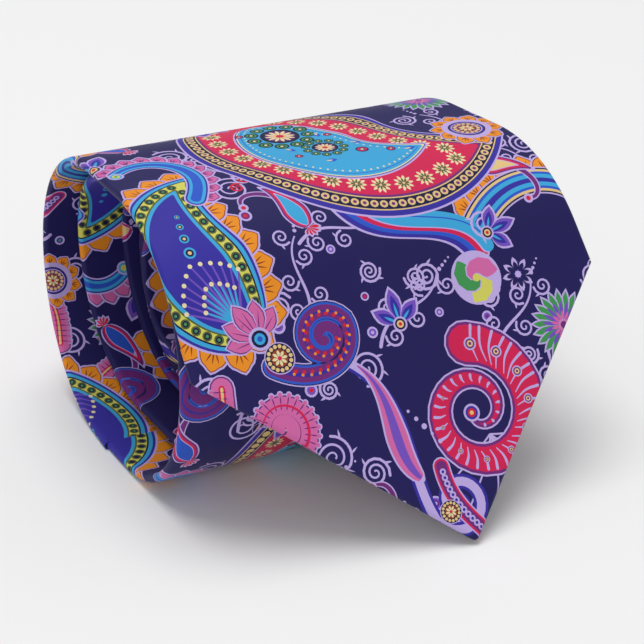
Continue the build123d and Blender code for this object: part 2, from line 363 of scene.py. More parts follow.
def frill():
    line = bend((-9, -8), (-11, 8), (4, 13), (8, 2), 34)
    scallops(shifted(line, 1.7), 3.1, 2.7, "pink", "plum", 1)
    for colour, grow in (("lavender", 1.6), ("indigo", 1.25), ("cyan", 0.9), ("blue", 0.25)):
        ribbon(colour, line, thin(0.8, 0.1), grow)
    target(7.6, 1.2, 1.7, "lavender", "cyan", "lime", "green")


def drop(core="blue"):
    tail = bend((1.2, 5), (0, 12), (-7, 14), (-7.6, 9.4), 22)
    ribbon("lavender", tail, thin(0.95, 0.6))
    ribbon("plum", tail, thin(0.68, 0.3))
    target(*tail[-1], 1.15, "lavender", "red")
    body = bend((0.6, -3.0), (0.2, 2), (2.6, 6), (0, 12), 24)
    paisley(body, 2.9, (("lavender", -0.35), ("plum", 0), ("crimson", 0.4), ("lavender", 0.95), (core, 1.15)),
            0.35, 1.2)
    for k in range(5):
        angle = -math.pi / 2 + 0.5 * (k - 2)
        petal("lavender", *body[0], angle, 2.8, 0.7, 1.3)
        petal("red", *body[0], angle, 2.3, 0.42, 1.3)


def goldDrop():
    drop("gold")


def cyanDrop():
    drop("cyan")


def snail():
    line = bend((13, -3), (8, 8), (-4, 8), (-6, 0), 26)[:-1] + coil(0, 0, 6.0, 1.6, math.pi, 1, 0.12)
    for colour, grow in (("lavender", 2.3), ("deep", 2.0), ("blue", 1.75), ("plum", 1.2), ("indigo", -0.1)):
        ribbon(colour, line, lambda t: 0.55 * (1 - t), grow * 0.85)
    for x, y, angle in spaced(line[:50], 1.9):
        petal("red", x, y, angle + 1.1, 1.15, 0.4, 1.2)
        disc("orange", x, y, 0.34, 7)


def fern():
    line = bend((14, -5), (11, 5), (8, 7), (0, 6.6), 22)[:-1] + coil(0, 0, 6.6, 1.8, math.pi / 2, 1, 0.1)
    for colour, grow in (("lavender", 1.85), ("plum", 1.55), ("pink", 1.25), ("crimson", -0.3),
                         ("gold", -0.7)):
        ribbon(colour, line, lambda t: 0.9 * (1 - t) + 0.1, grow)
    for x, y, angle in spaced(line[:52], 1.35):
        out = angle + math.pi / 2
        disc("lavender", x - 2.35 * math.cos(out), y - 2.35 * math.sin(out), 0.68, 8)
        disc("pink", x - 2.2 * math.cos(out), y - 2.2 * math.sin(out), 0.5, 8)
        petal("plum", x, y, out, 1.0, 0.14)
        petal("plum", x, y, out + math.pi, 2.1, 0.14)


def shell():
    # a crimson coil, combed with pale ribs, under a fan of buds on stalks
    for k in range(7):
        angle = math.radians(35 + 18.5 * k)
        reach = 26 - 0.5 * abs(k - 3) ** 1.5
        x, y = reach * math.cos(angle), reach * math.sin(angle)
        ribbon("lavender", bend((0, 6), (x * 0.2, y * 0.6), (x * 0.7, y * 0.8), (x, y), 10), thin(0.2, 0.2))
        target(x, y, 2.5 - 0.28 * abs(k - 3), "lavender", "violet", "plum", "lavender")
    spiral = coil(0, 0, 15.0, 1.7, math.radians(-70), 1, 0.1)
    band = lambda t: 4.6 * (1 - t) ** 1.1 + 0.15
    for colour, grow in (("lavender", 0.5), ("plum", 0.1), ("crimson", -0.55)):
        ribbon(colour, spiral, band, grow)
    for k, (x, y, angle) in enumerate(spaced(spiral[:-6], 2.2)):
        wide = max(0.3, 4.2 * (1 - k * 2.2 / 88) ** 1.1)
        out = angle + math.pi / 2
        ribbon("lavender", bend((x - wide * math.cos(out), y - wide * math.sin(out)),
                                (x, y), (x, y),
                                (x + wide * math.cos(out - 0.5), y + wide * math.sin(out - 0.5)), 6),
               thin(0.34, 0.1))
        if k % 3 == 0 and wide > 1.2:
            target(x, y, wide * 0.36, "lavender", "plum", "gold", "plum")
    target(*spiral[-1], 2.0, "lavender", "indigo", "red", "gold")


def stem():
    # a tall s-curve with a violet blade and a curl at each end
    line = coil(9, 15, 6.5, 1.5, math.radians(170), -1, 0.12)[::-1]
    line += bend(line[-1], (1, 4), (10, -8), (0, -20), 30)[1:]
    for colour, grow in (("lavender", 1.3), ("indigo", 0.95), ("lavender", 0.3)):
        ribbon(colour, line, lambda t: 0.2 + 0.5 * math.sin(math.pi * t), grow)
    blade = bend((4, 8), (-1, 0), (8, -10), (1, -20), 28)
    ribbon("lavender", blade, bellied(2.3, 0.4, 1.2), 0.4)
    ribbon("pink", blade, bellied(2.3, 0.4, 1.2))
    ribbon("violet", blade, bellied(1.0, 0.4, 1.2))
    vine(-5, 2, 3.2, 0.6, -1)
    for k in range(5):
        disc("lavender", 7.5 + 0.9 * k, -6 + 2.1 * k, 0.35 + 0.14 * (k % 3))


def wave():
    # a striped ribbon that ends in a two-tone curl
    line = bend((-10, 17), (-12, 4), (6, 4), (5, -8), 34)
    for shift, colour in ((-2.0, "lavender"), (-1.45, "indigo"), (-0.3, "blue"), (0.9, "crimson"),
                          (2.0, "lavender"), (2.35, "cyan")):
        ribbon(colour, [(x + shift, y) for x, y in line], thin(2.2, 1.3))
    ribbon("blue", [(x + 2.9, y) for x, y in line[3:-3]], 0.14)
    target(1.0, -11.5, 5.4, "lavender", "indigo")
    for colour, start in (("lime", 3.4), ("green", 1.3), ("pink", -0.8)):
        curl = coil(1.0, -11.5, 3.9, 0.62, start, 1, 0.1)
        ribbon("lavender", curl, bellied(1.9, 0.25, 1.2), 0.25)
        ribbon(colour, curl, bellied(1.85, 0.25, 1.2))
    disc("lime", 1.0, -11.5, 0.8)
    vine(9.5, -4, 3.4, 0.4, -1)
    vine(-7.5, -5, 3.0, 2.6, 1)


def wheel():
    for k in range(22):
        angle = 2 * math.pi * k / 22
        petal("lavender", 0, 0, angle, 8.6, 1.15, 1.5)
        petal("green", 0, 0, angle, 7.9, 0.85, 1.5)
    daisy(0, 0, 5.6, 18, "violet", "lavender")
    daisy(0, 0, 3.4, 14, "pink", "plum")


def goldWheel():
    rosette(0, 0, 3.5, 15, "gold", "deep")


def flower():
    daisy(0, 0, 3.7, 8, "lavender", "violet")
    daisy(0, 0, 2.8, 8, "ground", "lavender")


def braid():
    line = bend((-9, -6), (-3, 0), (1, 4), (9, 5), 20)
    for colour, grow in (("lavender", 2.3), ("crimson", 1.95), ("plum", 1.45)):
        ribbon(colour, line, lambda t: 0.5, grow - 0.5)
    chain(line, 1.5, 0.85, "lavender", "indigo")


def trefoil():
    # three long leaves round a bud
    for angle, length in ((90, 9.5), (38, 8.0), (142, 8.0)):
        turn = math.radians(angle)
        petal("lavender", 0, 0, turn, length + 0.8, 2.3, 1.2)
        petal("violet", 0, 0, turn, length, 1.85, 1.2)
        petal("indigo", 0, 0, turn, length * 0.82, 1.1, 1.2)
        petal("cyan", 0, 0, turn, length * 0.6, 0.35, 1.2)
    target(0, 0, 2.0, "lavender", "deep", "gold", "red")


def spray():
    # a branching tendril with curls and beads
    line = bend((-11, -5), (-5, 4), (3, -4), (9, 4), 30)
    ribbon("lavender", line, thin(0.42, 0.18))
    for k, (x, y, angle) in enumerate(spaced(line, 4.6)):
        way = 1 if k % 2 else -1
        out = angle + way * 1.2
        vine(x + 3.1 * math.cos(out), y + 3.1 * math.sin(out), 2.3, out + math.pi, -way, 1.6, "lavender",
             0.28, 0.0, 1)
    for k in range(4):
        disc("lavender", 10.2 + 1.1 * k, 4.8 + 0.5 * k, 0.5 - 0.08 * k)


def sun():
    # an orange wheel of scallops round a rosette
    ring = coil(0, 0, 6.2, 1.0, 0.0, 1, 1.0)
    scallops(ring, 3.9, 3.4, "orange", "rust", -1)
    target(0, 0, 6.6, "lavender", "deep", "cyan", "deep")
    disc("indigo", 0, 0, 4.6)
    rosette(0, 0, 4.2, 15, "gold", "plum")


def redDrop():
    drop("cyan")
    for k in range(3):
        vine(-3.5 + 3.5 * k, 15 + 1.5 * (k % 2), 1.7, 0.5 + k, 1 - 2 * (k % 2), 1.6, "red", 0.3, 0.0, 0)


layout = (
    # motif, x, y, turn, size, flip
    (spray, 27, 44, 24, 1.0, 1), (spray, -20, 66, 100, 0.95, -1), (spray, 3, 53, 8, 1.0, 1),
    (spray, -36, 21, -10, 1.0, 1), (spray, 34, 26, -60, 0.95, -1), (spray, -6, 74, -20, 0.95, 1),
    (spray, 38, 100, 80, 1.0, 1), (spray, -25, 104, -70, 1.0, 1), (spray, 22, 132, 10, 1.0, -1),
    (spray, -20, 141, 40, 1.0, 1), (spray, 45, 78, 100, 0.9, 1), (spray, 20, 4, 0, 0.9, 1),
    (shell, 10, 27, 10, 1.0, -1), (stem, -13, 24, 8, 1.06, -1), (braid, 0, 9, 78, 0.9, 1),
    (wheel, 38, 39, 0, 1.0, 1), (fern, -35, 36, 150, 1.05, 1), (goldWheel, -4, 8, 0, 0.75, 1),
    (sunBoteh, -40, 73, 24, 1.06, 1), (snail, -19, 52, 205, 1.05, 1), (goldWheel, -30.5, 50.5, 0, 1.0, 1),
    (hook, 43, 62, -58, 1.08, 1), (wave, 15, 67, 20, 1.15, 1), (flower, 31, 53, 0, 1.1, 1),
    (redDrop, -15, 79, 20, 1.0, 1), (goldDrop, 34, 80, 70, 1.05, -1), (redDrop, 32, 16, -40, 0.95, 1),
    (grandBoteh, 2, 109, 16, 1.12, -1), (frill, -38, 104, 150, 1.1, -1), (sun, 40, 96, 0, 0.9, 1),
    (drop, -36, 126, 200, 1.0, -1), (wheel, 42, 120, 0, 1.05, 1), (fern, 40, 139, -30, 1.0, -1),
    (snail, -33, 143, 20, 1.0, 1), (trefoil, -47, 116, 20, 1.0, 1), (braid, -42, 12, 10, 0.95, 1),
    (flower, 45, 17, 0, 1.0, 1), (goldDrop, -24, 7, -60, 1.0, 1), (frill, 41, 3, 30, 1.0, 1),
    (cyanDrop, 9, 149, -70, 1.0, 1), (trefoil, -1, 50, 0, 0.85, 1), (sun, -47, 31, 0, 0.75, 1),
    (trefoil, 27, 64, -80, 0.8, 1), (sun, 27, 142, 0, 0.8, 1), (trefoil, -12, 132, 160, 0.9, 1),
)
curls = (
    # x, y, radius, start, way
    (-25, 92, 4.6, 0.6, 1), (28, 87, 4.2, 5.4, 1), (-26, 27, 4.6, 1.4, -1), (25, 8, 4.0, 0.6, 1),
    (-12, 43, 4.0, 4.4, 1), (-29, 114, 4.4, 2.2, -1), (-24, 131, 4.6, 2.0, -1), (-9, 146, 3.2, 1.0, 1),
    (48, 84, 3.6, 1.2, 1), (-48, 47, 4.0, 0.4, 1), (51, 104, 4.0, 2.2, 1), (30, 108, 3.2, 1.0, -1),
    (-50, 92, 3.2, 1.2, 1), (49, 48, 3.0, 3.3, 1), (-22, 41, 2.4, 1.2, 1), (25, 75, 3.0, 2.6, 1),
    (-33, 3, 3.0, 0.5, -1), (9, 2, 2.4, 2.2, 1), (-27, 61, 3.4, 0.4, 1), (22, 50, 2.6, 1.0, -1),
    (6, 59, 2.6, 3.0, 1), (-20, 14, 3.2, 2.4, 1), (27, 35, 2.4, 0.2, -1), (46, 29, 2.8, 1.8, 1),
    (-4, 63, 2.6, 0.0, -1),
)
dots = (
    # x, y, radius, ring, eye
    (-26, 83, 1.5, "plum", "red"), (-28.5, 57, 1.6, "violet", "plum"), (28, 72, 1.3, "plum", "red"),
    (-30, 97, 1.2, "violet", "lavender"), (24.5, 60, 1.5, "indigo", "red"),
    (20, 46, 1.3, "violet", "plum"), (-26, 42, 1.5, "violet", "red"), (33, 29, 1.2, "plum", "gold"),
    (-8, 50, 1.3, "violet", "lavender"), (48, 24, 1.5, "plum", "red"), (-50, 20, 1.3, "indigo", "green"),
    (-22, 121, 1.5, "plum", "red"), (31, 126, 1.4, "indigo", "gold"),
    (46, 131, 1.1, "violet", "lavender"), (-11, 70, 1.1, "violet", "lavender"),
    (9, 50, 1.1, "violet", "lavender"), (-33, 90, 1.0, "plum", "red"), (50, 73, 1.2, "plum", "red"),
    (0, 142, 1.2, "indigo", "green"), (-45, 133, 1.6, "plum", "gold"), (-12, 10, 1.1, "plum", "red"),
    (38, 10, 1.0, "violet", "red"), (-7, 58, 1.0, "plum", "red"), (37, 71, 1.0, "violet", "lavender"),
)


def drawPrint():
    for k in range(5):
        placed(goldWheel, -20 + 17 * k, 122 + 9 * math.sin(2.1 * k + 1), 0, 0.5 + 0.12 * (k % 2))
    for x, y, radius, start, way in curls:
        vine(x, y, radius, start, way)
    for x, y, radius, ring, eye in dots:
        target(x, y, radius, "lavender", ring, eye)
    for motif, x, y, turn, size, flip in layout:
        placed(motif, x, y, turn, size, flip)


# the rolled tie: how a flat place on the cloth lies in the roll
roll = {
    "radius": 34.5, "flat": 9.0, "outerGap": 2.4, "innerGap": 0.85, "smallest": 9.5,
    "ramp": math.radians(55.0), "skew": math.radians(4.0), "tipX": 15.54,
    "backPieces": 6, "frontPieces": 2,
}
tie = {
    "blade": 50.8, "neck": 19.0, "tail": 23.0, "neckAt": 690.0, "longest": 1400.0,
    "thick": 2.1, "cloth": 0.3,
    "openShoulder": 38.0, "openAt": 46.8, "openTop": 57.0, "openFoot": 15.6, "slit": 0.35,
}
foldRadius = tie["thick"] / 2
foldLength = math.pi * foldRadius
taper = (tie["blade"] - tie["neck"]) / (tie["neckAt"] - tie["blade"])


def layRuns():
    # straight and round stretches, from the tip inwards: each keeps where it starts and stops
    radius, flat, slope = roll["radius"], roll["flat"], roll["ramp"]
    topY = -flat - radius * math.sin(slope)
    topZ = radius * (1 + math.cos(slope))
    length = (topZ - tie["thick"] * math.cos(slope)) / math.sin(slope)
    way = (math.cos(slope), math.sin(slope))
    runs = []
    at = 0.0

    def straight(y, z, way, length):
        nonlocal at
        runs.append({"kind": "line", "start": (y, z), "way": way, "near": at, "far": at + length})
        at += length

    def curved(y, z, radius, start, sweep, length):
        nonlocal at
        runs.append({"kind": "arc", "centre": (y, z), "radius": radius, "from": start,
                     "sweep": sweep, "near": at, "far": at + length})
        at += length

    straight(topY - way[0] * length, topZ - way[1] * length, way, length)
    curved(-flat, radius, radius, math.pi / 2 + slope, slope, radius * slope)
    straight(-flat, 2 * radius, (1, 0), 2 * flat)
    curved(flat, radius, radius, math.pi / 2, math.pi, radius * math.pi)
    outer = at
    low, high = 0.0, 2 * radius - tie["thick"] - roll["outerGap"]
    straight(flat, 0.0, (-1, 0), 2 * flat)
    front, step = True, tie["thick"] + roll["outerGap"]
    while (high - low) / 2 > roll["smallest"]:
        half = (high - low) / 2
        length = math.pi * (half - foldRadius)
        if at + length + 2 * flat > tie["longest"]:
            break
        y = -flat if front else flat
        curved(y, (low + high) / 2, half, -math.pi / 2 if front else math.pi / 2, math.pi, length)
        straight(y, high if front else low, (1, 0) if front else (-1, 0), 2 * flat)
        if front:
            low += step
            step = tie["thick"] + roll["innerGap"]
        else:
            high -= step
        front = not front
    runs.pop()
    return runs, outer, runs[-1]["far"]


runs, outerEnd, wholeLength = layRuns()


def halfWidth(s):
    s = np.asarray(s, float)
    blade = tie["blade"] - taper * (s - tie["blade"])
    share = (s - tie["neckAt"]) / (wholeLength - tie["tail"] - tie["neckAt"])
    tail = tie["neck"] + (tie["tail"] - tie["neck"]) * np.minimum(share, 1.0)
    return np.where(s < tie["neckAt"], blade, tail)


def lay(x, s, depth, skewed):
    # cloth places (across, along, depth under the printed face), in mm, to points in the roll, in metres
    x, s, depth = np.broadcast_arrays(*(np.asarray(v, float) for v in (x, s, depth)))
    turn = roll["skew"] if skewed else 0.0
    along = s * math.cos(turn) + x * math.sin(turn)
    points = np.zeros(x.shape + (3,))
    points[..., 0] = x * math.cos(turn) - s * math.sin(turn) + (roll["tipX"] if skewed else 0.0)
    done = np.zeros(x.shape, bool)
    for k, run in enumerate(runs):
        here = ~done & ((along <= run["far"]) | (k == len(runs) - 1))
        share = along[here] - run["near"]
        if run["kind"] == "line":
            wy, wz = run["way"]
            points[here, 1] = run["start"][0] + wy * share + wz * depth[here]
            points[here, 2] = run["start"][1] + wz * share - wy * depth[here]
        else:
            angle = run["from"] - run["sweep"] * share / (run["far"] - run["near"])
            reach = run["radius"] - depth[here]
            points[here, 1] = run["centre"][0] + reach * np.cos(angle)
            points[here, 2] = run["centre"][1] + reach * np.sin(angle)
        done |= here
    return points * mm


# cloth cut along the print's own outlines
tiledShapes = []


def outlineArea(points):
    return sum(ax * by - bx * ay for (ax, ay), (bx, by) in zip(points, points[1:] + points[:1])) / 2


def leftwards(points):
    # the same outline, run against the clock
    return points if outlineArea(points) > 0 else points[::-1]


def thinned(points, gap):
    # the outline with its close points dropped
    kept = [points[0]]
    for point in points[1:]:
        if math.dist(point, kept[-1]) >= gap:
            kept.append(point)
    return kept


def tileShapes():
    # the print repeats in half drops, so the next column starts half a tile up
    for colour, points in shapes:
        xs, ys = [p[0] for p in points], [p[1] for p in points]
        points = leftwards(points)
        edge = sum(math.dist(a, b) for a, b in zip(points, points[1:] + points[:1]))
        stout = 2 * outlineArea(points) / edge
        tiledShapes.append((colour, points, stout, min(xs), min(ys), max(xs), max(ys)))


def near(box, detail):
    # the shapes that touch a box: detail is (least size, least mean width, closest points)
    least, leastWidth, gap = detail
    found = []
    columns = range(math.floor(box[0] / tile["wide"] - 0.7), math.ceil(box[2] / tile["wide"] + 0.7) + 1)
    for column in columns:
        dx = column * tile["wide"]
        lift = 0.5 * tile["tall"] * (column % 2)
        lowRow = math.floor((box[1] - lift) / tile["tall"]) - 1
        for row in range(lowRow, math.ceil((box[3] - lift) / tile["tall"]) + 1):
            dy = row * tile["tall"] + lift
            for colour, points, stout, x0, y0, x1, y1 in tiledShapes:
                if x0 + dx > box[2] or x1 + dx < box[0] or y0 + dy > box[3] or y1 + dy < box[1]:
                    continue
                if max(x1 - x0, y1 - y0) < least or stout < leastWidth:
                    continue
                outline = thinned(points, gap) if gap else points
                if len(outline) > 2:
                    found.append((colour, [(x + dx, y + dy) for x, y in outline]))
    return found


class Cloth:
    # gathers printed patches, then makes one mesh of them
    def __init__(self, skewed, detail=(0.0, 0.0, 0.0)):
        self.skewed, self.detail = skewed, detail
        self.points, self.faces, self.inks, self.places = [], [], [], []
        self.count = 0

    def patch(self, region, place, lines=()):
        region = leftwards(region)
        xs, ys = [p[0] for p in region], [p[1] for p in region]
        box = (min(xs), min(ys), max(xs), max(ys))
        points, edges, faces, colours = list(region), [], [list(range(len(region)))], ["ground"]
        for line in lines:
            start = len(points)
            points += line
            edges += [(start + k, start + k + 1) for k in range(len(line) - 1)]
        for colour, outline in near(box, self.detail):
            start = len(points)
            points += outline
            faces.append(list(range(start, start + len(outline))))
            colours.append(colour)
        flat, _, cut, _, _, under = delaunay_2d_cdt(
            [Vector(p) for p in points], edges, faces, 0, 1e-5, True)
        kept = [(face, max(o)) for face, o in zip(cut, under) if 0 in o]
        flat = np.array([(p[0], p[1]) for p in flat])
        x, s, depth = place(flat[:, 0], flat[:, 1])
        self.points.append(lay(x, s, depth, self.skewed))
        self.places.append(flat)
        self.faces += [[v + self.count for v in face] for face, _ in kept]
        self.inks += [inkColours[colours[top]] for _, top in kept]
        self.count += len(flat)

    def make(self, name):
        mesh = bpy.data.meshes.new(name)
        mesh.from_pydata(np.concatenate(self.points).tolist(), [], self.faces)
        ink = mesh.attributes.new("ink", "FLOAT_COLOR", "FACE")
        colours = np.ones((len(self.inks), 4), np.float32)
        colours[:, :3] = np.where(np.array(self.inks) <= 0.04045, np.array(self.inks) / 12.92,
                                  ((np.array(self.inks) + 0.055) / 1.055) ** 2.4)
        ink.data.foreach_set("color", colours.ravel())
        weave = mesh.uv_layers.new(name="weave")
        places = np.concatenate(self.places)
        corners = np.array([v for face in self.faces for v in face])
        weave.data.foreach_set("uv", (places[corners] * mm).astype(np.float32).ravel())
        bm = bmesh.new()
        bm.from_mesh(mesh)
        bmesh.ops.remove_doubles(bm, verts=bm.verts, dist=4e-6)
        bmesh.ops.dissolve_degenerate(bm, edges=bm.edges, dist=1e-6)
        loose = [v for v in bm.verts if not v.link_faces]
        bmesh.ops.delete(bm, geom=loose, context="VERTS")
        for face in bm.faces:
            face.smooth = True
        for edge in bm.edges:
            edge.smooth = not edge.is_boundary
        bm.to_mesh(mesh)
        bm.free()
        return addObject(name, mesh)


def addObject(name, mesh):
    obj = bpy.data.objects.new(name, mesh)
    scene.collection.objects.link(obj)
    return obj


def foldedPlace(c, s):
    # across the cloth: the front, round the fold, and back under to the middle
    side, reach = np.sign(c), np.abs(c)
    flat = halfWidth(s) - foldRadius
    turn = np.clip((reach - flat) / foldRadius, 0, math.pi)
    under = np.maximum(reach - flat - foldLength, 0)
    x = np.where(reach <= flat, reach, flat + foldRadius * np.sin(turn) - under)
    return side * x, s, foldRadius * (1 - np.cos(turn))


def openHalf(s):
    # half the gap between the two back flaps
    slope = tie["openShoulder"] / (tie["openTop"] - tie["openAt"])
    return max(tie["slit"], slope * (tie["openTop"] - s))


def crossLine(along, skewed, folded=True):
    # the line across the cloth that lies at one place along the roll, flaps included
    turn = roll["skew"] if skewed else 0.0
    flat = float(halfWidth(along)) - foldRadius

    def level(x):
        return (along - x * math.sin(turn)) / math.cos(turn)

    def at(c, x):
        return (c, level(x))

    line = [at(x, x) for x in (-flat, 0.0, flat)]
    if folded:
        flap = 2 * flat + foldLength
        gap = openHalf(along)
        right = [at(flat + foldLength, flat), at(flap - gap, gap)]
        left = [at(gap - flap, -gap), at(-flat - foldLength, -flat)]
        line = left + line + right
    return line


# materials
class Value:
    # one output socket, with the usual operators
    def __init__(self, tree, socket):
        self.tree, self.socket = tree, socket

    def maths(self, operation, other=None, swap=False):
        inputs = [self] if other is None else ([other, self] if swap else [self, other])
        return self.tree.node("ShaderNodeMath", {"operation": operation}, *inputs)[0]

    def __add__(self, other):
        return self.maths("ADD", other)

    def __sub__(self, other):
        return self.maths("SUBTRACT", other)

    def __mul__(self, other):
        return self.maths("MULTIPLY", other)

    def __truediv__(self, other):
        return self.maths("DIVIDE", other)

    def __rsub__(self, other):
        return self.maths("SUBTRACT", other, True)

    def __pow__(self, other):
        return self.maths("POWER", other)

    __radd__ = __add__
    __rmul__ = __mul__


class Tree:
    # the nodes of one material
    def __init__(self, name):
        self.material = bpy.data.materials.new(name)
        self.material.use_nodes = True
        self.nodes = self.material.node_tree.nodes
        self.links = self.material.node_tree.links
        self.shader = next(n for n in self.nodes if n.type == "BSDF_PRINCIPLED")

    def node(self, kind, settings, *values, **named):
        made = self.nodes.new(kind)
        for key, value in settings.items():
            if key == "stops":
                ramp = made.color_ramp
                while len(ramp.elements) < len(value):
                    ramp.elements.new(0.5)
                for element, (place, colour) in zip(ramp.elements, value):
                    element.position, element.color = place, colour
            else:
                setattr(made, key, value)
        slots = list(enumerate(values)) + [(key.replace("_", " "), v) for key, v in named.items()]
        for key, value in slots:
            self.plug(made.inputs[key], value)
        return [Value(self, socket) for socket in made.outputs]

    def plug(self, socket, value):
        if isinstance(value, Value):
            self.links.new(value.socket, socket)
        else:
            socket.default_value = value

    def mix(self, share, a, b, blend="MIX"):
        made = self.nodes.new("ShaderNodeMix")
        made.data_type, made.blend_type = "RGBA", blend
        self.plug(made.inputs["Factor"], share)
        for socket, value in zip([s for s in made.inputs if s.type == "RGBA"], (a, b)):
            self.plug(socket, value)
        return Value(self, next(s for s in made.outputs if s.type == "RGBA"))

    def set(self, **sockets):
        for key, value in sockets.items():
            self.plug(self.shader.inputs[key.replace("_", " ")], value)
        return self.material

    def bump(self, height, strength, distance):
        return self.node("ShaderNodeBump", {}, Strength=strength, Distance=distance, Height=height)[-1]


def rgba(r, g, b):
    return tuple(c / 12.92 if c <= 0.04045 else ((c + 0.055) / 1.055) ** 2.4 for c in (r, g, b)) + (1.0,)


def threads(tree, coordinates, pitch):
    # twill: fine ribs on the slant, broken up by the crossing threads
    x, y, _ = tree.node("ShaderNodeSeparateXYZ", {}, coordinates)
    slant = ((x + y * 0.55) * (2 * math.pi / pitch)).maths("SINE")
    cross = ((y - x * 0.4) * (2 * math.pi / (pitch * 1.3))).maths("SINE")
    return slant * 0.35 + cross * 0.15 + 0.5


satin = {"pitch": 0.00042, "rough": 0.6, "sheen": 0.06, "sheenRough": 0.4, "relief": 0.22, "shine": 0.22}


def printedSatin(name="printedSatin", paintedShade=1.0):
    tree = Tree(name)
    ink = tree.node("ShaderNodeAttribute", {"attribute_name": "ink"})[0]
    place = tree.node("ShaderNodeUVMap", {"uv_map": "weave"})[0]
    rib = threads(tree, place, satin["pitch"])
    ownPlace = tree.node("ShaderNodeTexCoord", {})[3]
    cloud = tree.node("ShaderNodeTexNoise", {}, Vector=ownPlace, Scale=60.0, Detail=3.0)[0]
    fleck = tree.node("ShaderNodeTexNoise", {}, Vector=place, Scale=2600.0, Detail=1.0)[0]
    # the last term sets the colour's overall level: below 1 it is painted shade, darkening the print as on
    # the reverse face
    light = (cloud - 0.5) * 0.16 + (rib - 0.5) * 0.12 + (fleck - 0.5) * 0.14 + paintedShade
    grey = tree.node("ShaderNodeCombineColor", {}, light, light, light)[0]
    colour = tree.mix(1.0, ink, grey, "MULTIPLY")
    rough = (rib - 0.5) * 0.12 + (cloud - 0.5) * 0.1 + satin["rough"]
    fold = tree.node("ShaderNodeTexNoise", {}, Vector=ownPlace, Scale=28.0, Detail=2.0)[0]
    soft = tree.bump(fold, 0.12, 0.002)
    normal = tree.node("ShaderNodeBump", {}, Strength=satin["relief"], Distance=0.0001,
                       Height=rib + fleck * 0.4, Normal=soft)[-1]
    return tree.set(Base_Color=colour, Roughness=rough, Normal=normal, Sheen_Weight=satin["sheen"],
                    Sheen_Roughness=satin["sheenRough"], Specular_IOR_Level=satin["shine"])


def plainWeave(name, colour, second, pitch, rough=0.7, sheen=0.2, relief=0.3):
    # woven cloth or thread in two close shades, placed by the object's own coordinates
    tree = Tree(name)
    place = tree.node("ShaderNodeTexCoord", {})[3]
    rib = threads(tree, place, pitch)
    cloud = tree.node("ShaderNodeTexNoise", {}, Vector=place, Scale=220.0, Detail=4.0)[0]
    share = rib * 0.6 + cloud * 0.5 - 0.1
    mixed = tree.mix(share, rgba(*colour), rgba(*second))
    normal = tree.bump(rib + cloud * 0.5, relief, 0.00012)
    return tree.set(Base_Color=mixed, Roughness=(cloud - 0.5) * 0.2 + rough, Normal=normal,
                    Sheen_Weight=sheen, Specular_IOR_Level=0.3)


def felt(name, colour, second):
    # brushed wool interlining: loose short fibres
    tree = Tree(name)
    place = tree.node("ShaderNodeTexCoord", {})[3]
    fibre = tree.node("ShaderNodeTexNoise", {}, Vector=place, Scale=1500.0, Detail=6.0, Distortion=1.5)[0]
    clump = tree.node("ShaderNodeTexNoise", {}, Vector=place, Scale=260.0, Detail=2.0)[0]
    mixed = tree.mix(fibre * 0.7 + clump * 0.3, rgba(*colour), rgba(*second))
    normal = tree.bump(fibre + clump, 0.5, 0.0003)
    return tree.set(Base_Color=mixed, Roughness=(clump - 0.5) * 0.1 + 0.95, Normal=normal, Sheen_Weight=0.3)


finishes = {}


def makeFinishes():
    finishes["print"] = printedSatin()
    # the reverse face: the same print darkened to 0.72, painted shade for the inner side of the layers
    finishes["reverse"] = printedSatin("satinReverseShaded", 0.72)
    finishes["lining"] = plainWeave(
        "tippingSatin", (0.13, 0.11, 0.36), (0.19, 0.16, 0.47), 0.00034, 0.42, 0.5, 0.2)
    finishes["wool"] = felt("woolInterlining", (0.86, 0.83, 0.76), (0.68, 0.64, 0.57))
    finishes["thread"] = plainWeave(
        "navyThread", (0.20, 0.17, 0.50), (0.33, 0.30, 0.66), 0.00022, 0.5, 0.3, 0.5)
    finishes["tack"] = plainWeave(
        "lavenderThread", (0.70, 0.62, 0.88), (0.84, 0.78, 0.96), 0.00022, 0.5, 0.3, 0.5)
    finishes["label"] = plainWeave(
        "labelWeave", (0.11, 0.10, 0.30), (0.17, 0.15, 0.40), 0.0003, 0.5, 0.3, 0.3)
    finishes["labelEdge"] = plainWeave(
        "labelBorder", (0.78, 0.70, 0.90), (0.90, 0.85, 0.98), 0.0003, 0.5, 0.3, 0.3)
    finishes["tag"] = plainWeave(
        "careTagSatin", (0.90, 0.89, 0.93), (0.97, 0.96, 0.98), 0.00028, 0.45, 0.3, 0.2)


def thicken(obj, thickness, second=None):
    solid = obj.modifiers.new("thickness", "SOLIDIFY")
    solid.thickness = thickness * mm
    solid.offset = -1
    if second:
        # the second material covers the solidified back shell; on the cloth it is the darker reverse satin, a
        # painted shade
        obj.data.materials.append(second)
        solid.material_offset = 1


def finish(obj, *materials):
    for material in materials:
        obj.data.materials.append(material)
    return obj


# the cloth of the outer turn, cut half way between the hinges
hingePlaces = [outerEnd - roll["radius"] * math.pi * k / roll["backPieces"]
               for k in range(roll["backPieces"] + 1)]
firstFront = hingePlaces[-1] - 2 * roll["flat"]
hingePlaces += [firstFront - roll["radius"] * roll["ramp"] * k / roll["frontPieces"]
                for k in range(roll["frontPieces"] + 1)]
cutting = {"firstOverlap": 8.0, "rampOverlap": 10.0, "bendReach": 4.5, "lineStep": 2.2, "edgeLine": 0.15}
cuts = [outerEnd + cutting["firstOverlap"]]
cuts += [(a + b) / 2 for a, b in zip(hingePlaces, hingePlaces[1:])]
cuts += [hingePlaces[-1] - cutting["rampOverlap"]]


